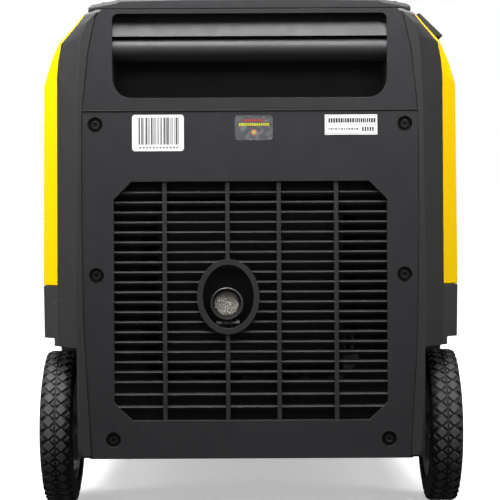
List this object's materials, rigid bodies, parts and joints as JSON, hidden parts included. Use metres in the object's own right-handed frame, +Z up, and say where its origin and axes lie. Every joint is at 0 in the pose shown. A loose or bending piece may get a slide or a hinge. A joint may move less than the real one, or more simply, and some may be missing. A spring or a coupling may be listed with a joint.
{
  "type": "portable generator",
  "caption": "Closed inverter generator on wheels, with side panels, hand recesses, a fold-over tow handle and a louvred exhaust end.",
  "frame": {"origin": "centre of the set's box, at ground level", "axes": "+Z up, -Y towards the exhaust end, +Y towards the control end, +X to the right of someone who faces the exhaust end"},
  "size_m": [0.433, 0.61, 0.5299],
  "materials": {
    "panel_black": "fine moulded texture",
    "hoop_black": "fine moulded texture, slightly warmer",
    "side_yellow": "smooth semi-gloss",
    "dark_steel": "black powder coat",
    "bright_steel": "zinc plated",
    "black_screw": "black oxide",
    "cast_alloy": "as cast",
    "hot_steel": "heat stained",
    "arrester_mesh": "woven wire, sooty",
    "tyre_rubber": "worn tread",
    "rubber": "matt",
    "rim_metal": "silver paint",
    "tank_paint": "semi-gloss black",
    "gloss_black": "polished",
    "lens": "tinted",
    "lamp_green": "clear tinted",
    "button_green": "smooth",
    "ceramic_white": "glazed"
  },
  "bodies": {
    "root": {"base_tray": "dark_steel", "rear_hoop": "hoop_black", "front_hoop": "hoop_black", "rear_panel": "panel_black", "panel_screws": "black_screw", "baffle_plate": "dark_steel", "rear_handle_cover": "panel_black", "front_handle_cover": "panel_black", "grip_bars": "panel_black", "left_side_panel": "side_yellow", "right_side_panel": "side_yellow", "left_sill": "hoop_black", "right_sill": "hoop_black", "top_cover": "hoop_black", "handle_brackets": "dark_steel", "handle_pins": "bright_steel", "axle": "bright_steel", "wheel_retainers": "bright_steel", "front_feet": "rubber", "foot_bolts": "bright_steel", "engine_crankcase": "cast_alloy", "engine_cylinder": "cast_alloy", "cylinder_head": "cast_alloy", "piston": "cast_alloy", "spark_plug": "ceramic_white", "carburettor": "cast_alloy", "air_filter_box": "panel_black", "stator": "bright_steel", "recoil_housing": "panel_black", "engine_mounts": "rubber", "muffler": "dark_steel", "exhaust_tip": "hot_steel", "spark_arrester": "arrester_mesh", "exhaust_clamp": "bright_steel", "fuel_tank": "tank_paint", "front_panel": "panel_black", "outlet_fittings": "gloss_black", "ground_terminal": "bright_steel", "display_window": "lens", "pilot_lamps": "lamp_green", "inverter_module": "cast_alloy", "battery": "gloss_black"},
    "left_wheel": {"left_tyre": "tyre_rubber", "left_rim": "rim_metal"},
    "right_wheel": {"right_tyre": "tyre_rubber", "right_rim": "rim_metal"},
    "tow_handle": {"tow_arms": "dark_steel", "tow_grip": "panel_black"},
    "service_door": {"service_door": "side_yellow"},
    "fuel_cap": {"fuel_cap": "gloss_black"},
    "vent_lever": {"vent_lever": "gloss_black"},
    "left_outlet_lid": {"left_outlet_lid": "gloss_black"},
    "right_outlet_lid": {"right_outlet_lid": "gloss_black"},
    "breaker_button": {"breaker_button": "gloss_black"},
    "selector_knob": {"selector_knob": "gloss_black"},
    "start_button": {"start_button": "button_green"},
    "eco_rocker": {"eco_rocker": "gloss_black"},
    "crank": {"crankshaft": "bright_steel", "flywheel_fan": "cast_alloy"},
    "recoil_grip": {"recoil_grip": "gloss_black"}
  },
  "joints": [
    {"name": "left_wheel_spin", "type": "hinge", "parent": "root", "child": "left_wheel", "pos_m": [-0.1995, -0.205, 0.08], "axis": [1, 0, 0], "continuous": true},
    {"name": "right_wheel_spin", "type": "hinge", "parent": "root", "child": "right_wheel", "pos_m": [0.1995, -0.205, 0.08], "axis": [1, 0, 0], "continuous": true},
    {"name": "tow_handle_fold", "type": "hinge", "parent": "root", "child": "tow_handle", "pos_m": [0, 0.245, 0.5235], "axis": [-1, 0, 0], "range_deg": [0, 165]},
    {"name": "service_door_swing", "type": "hinge", "parent": "root", "child": "service_door", "pos_m": [0.2137, -0.11, 0.256], "axis": [0, 1, 0], "range_deg": [0, 90]},
    {"name": "fuel_cap_lift", "type": "slide", "parent": "root", "child": "fuel_cap", "axis": [0, 0, 1], "range_m": [0, 0.06]},
    {"name": "vent_lever_turn", "type": "hinge", "parent": "fuel_cap", "child": "vent_lever", "pos_m": [0.055, 0.12, 0.527], "axis": [0, 0, 1], "range_deg": [0, 90]},
    {"name": "left_outlet_lid_swing", "type": "hinge", "parent": "root", "child": "left_outlet_lid", "pos_m": [-0.108, 0.2999, 0.234], "axis": [1, 0, 0], "range_deg": [0, 110]},
    {"name": "right_outlet_lid_swing", "type": "hinge", "parent": "root", "child": "right_outlet_lid", "pos_m": [-0.038, 0.2999, 0.234], "axis": [1, 0, 0], "range_deg": [0, 110]},
    {"name": "breaker_button_press", "type": "slide", "parent": "root", "child": "breaker_button", "axis": [0, -1, 0], "range_m": [0, 0.0018]},
    {"name": "selector_turn", "type": "hinge", "parent": "root", "child": "selector_knob", "pos_m": [0.095, 0.291, 0.3425], "axis": [0, 1, 0], "range_deg": [0, 90]},
    {"name": "start_button_press", "type": "slide", "parent": "root", "child": "start_button", "axis": [0, -1, 0], "range_m": [0, 0.002]},
    {"name": "eco_rocker_tilt", "type": "hinge", "parent": "root", "child": "eco_rocker", "pos_m": [0.004, 0.2935, 0.3425], "axis": [1, 0, 0], "range_deg": [-8, 8]},
    {"name": "crank_spin", "type": "hinge", "parent": "root", "child": "crank", "pos_m": [0, -0.02, 0.19], "axis": [1, 0, 0], "continuous": true},
    {"name": "recoil_grip_pull", "type": "slide", "parent": "root", "child": "recoil_grip", "axis": [-1, 0, 0], "range_m": [0, 0.04]}
  ]
}
